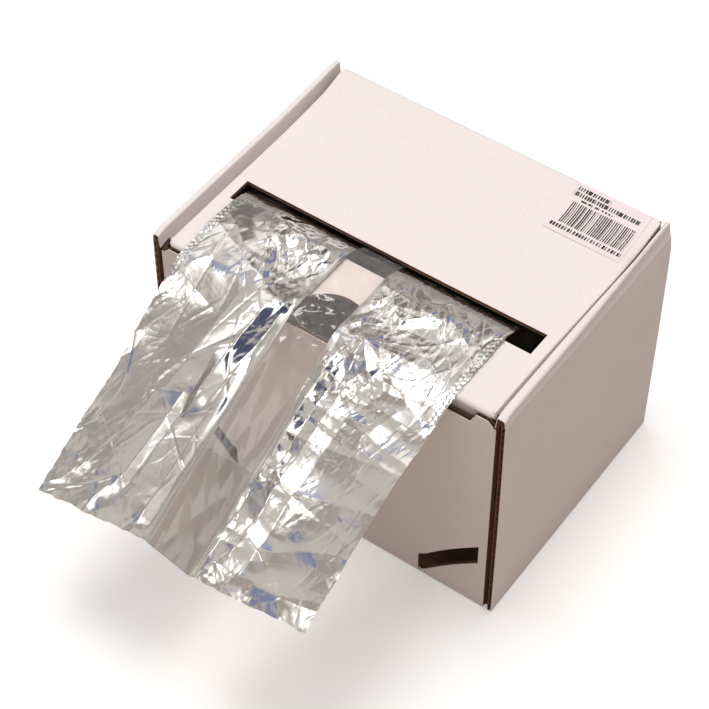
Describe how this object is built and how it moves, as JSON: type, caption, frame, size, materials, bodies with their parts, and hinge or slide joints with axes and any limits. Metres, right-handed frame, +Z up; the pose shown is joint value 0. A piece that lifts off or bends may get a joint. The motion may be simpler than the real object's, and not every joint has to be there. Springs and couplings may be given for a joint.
{
  "type": "foil dispenser box",
  "caption": "Corrugated dispenser box with a hinged, slotted lid. A roll inside feeds a web of foil bands joined by a clear film strip out over the front.",
  "frame": {"origin": "centre of the underside of the carton, on the surface that it stands on", "axes": "+Z up, -Y towards the front that the foil hangs over, +X to the right seen from the front"},
  "size_m": [0.129, 0.1681, 0.096],
  "materials": {
    "white_board": "matte",
    "core_board": "matte",
    "label_paper": "matte",
    "foil": "polished",
    "film": "gloss"
  },
  "bodies": {
    "carton": {"base_panel": "white_board", "front_panel": "white_board", "back_panel": "white_board", "left_outer_wall": "white_board", "right_outer_wall": "white_board", "left_wall_spine": "white_board", "right_wall_spine": "white_board", "left_inner_wall": "white_board", "right_inner_wall": "white_board", "front_left_dust_flap": "white_board", "front_right_dust_flap": "white_board", "back_left_dust_flap": "white_board", "back_right_dust_flap": "white_board", "left_foil_lead": "foil", "clear_film_lead": "film", "right_foil_lead": "foil"},
    "lid": {"lid_panel": "white_board", "label": "label_paper", "left_foil_web": "foil", "clear_film_web": "film", "right_foil_web": "foil"},
    "lid_left_side_flap": {"lid_left_flap": "white_board"},
    "lid_right_side_flap": {"lid_right_flap": "white_board"},
    "lid_front_flap": {"tuck_flap": "white_board"},
    "roll": {"core_tube": "core_board", "left_foil_winding": "foil", "clear_film_winding": "film", "right_foil_winding": "foil"}
  },
  "joints": [
    {"name": "lid_hinge", "type": "hinge", "parent": "carton", "child": "lid", "pos_m": [0, 0.0475, 0.09185], "axis": [-1, 0, 0], "range_deg": [0, 115]},
    {"name": "tuck_crease", "type": "hinge", "parent": "lid", "child": "lid_front_flap", "pos_m": [0, -0.0444, 0.0917], "axis": [1, 0, 0], "range_deg": [0, 25]},
    {"name": "left_flap_crease", "type": "hinge", "parent": "lid", "child": "lid_left_side_flap", "pos_m": [-0.0585, 0, 0.092], "axis": [0, -1, 0], "range_deg": [0, 12]},
    {"name": "right_flap_crease", "type": "hinge", "parent": "lid", "child": "lid_right_side_flap", "pos_m": [0.0585, 0, 0.092], "axis": [0, 1, 0], "range_deg": [0, 12]},
    {"name": "roll_spin", "type": "hinge", "parent": "carton", "child": "roll", "pos_m": [0, 0.002, 0.0383], "axis": [1, 0, 0], "continuous": true}
  ]
}
